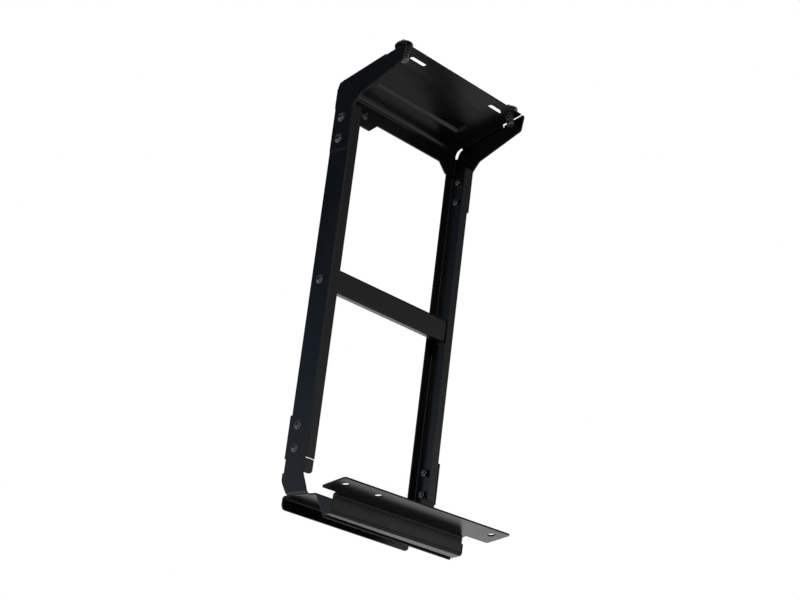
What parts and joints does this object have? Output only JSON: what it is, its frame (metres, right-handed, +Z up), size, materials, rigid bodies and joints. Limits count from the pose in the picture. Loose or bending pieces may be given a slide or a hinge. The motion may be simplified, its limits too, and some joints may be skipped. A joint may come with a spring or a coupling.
{
  "type": "vehicle side ladder",
  "caption": "Folded-steel side ladder for a vehicle: channel stiles, hooded top tread, mid rung, bottom step and a sill bracket.",
  "frame": {"origin": "on the upper face of the sill bracket's flange, on its line of holes, midway between the stiles", "axes": "+Z up, square to the sill flange; +X across the ladder toward the longer end of the sill flange; +Y away from the vehicle. The stiles lean toward -Y by 11 degrees as they rise, and the top tread slopes by 5 degrees."},
  "size_m": [0.4069, 0.314, 0.8377],
  "materials": {
    "black_powder_coat": "semi-gloss black powder coat on folded sheet steel",
    "zinc_plate": "bright zinc plating on steel bolts, nuts and washers"
  },
  "bodies": {
    "root": {"left_stile": "black_powder_coat", "right_stile": "black_powder_coat", "left_cheek": "black_powder_coat", "right_cheek": "black_powder_coat", "hood": "black_powder_coat", "rung": "black_powder_coat", "step": "black_powder_coat", "sill_bracket": "black_powder_coat", "left_end_plate": "black_powder_coat", "right_end_plate": "black_powder_coat", "left_rack_bolt": "zinc_plate", "right_rack_bolt": "zinc_plate", "left_rack_washer": "zinc_plate", "right_rack_washer": "zinc_plate"}
  },
  "joints": []
}
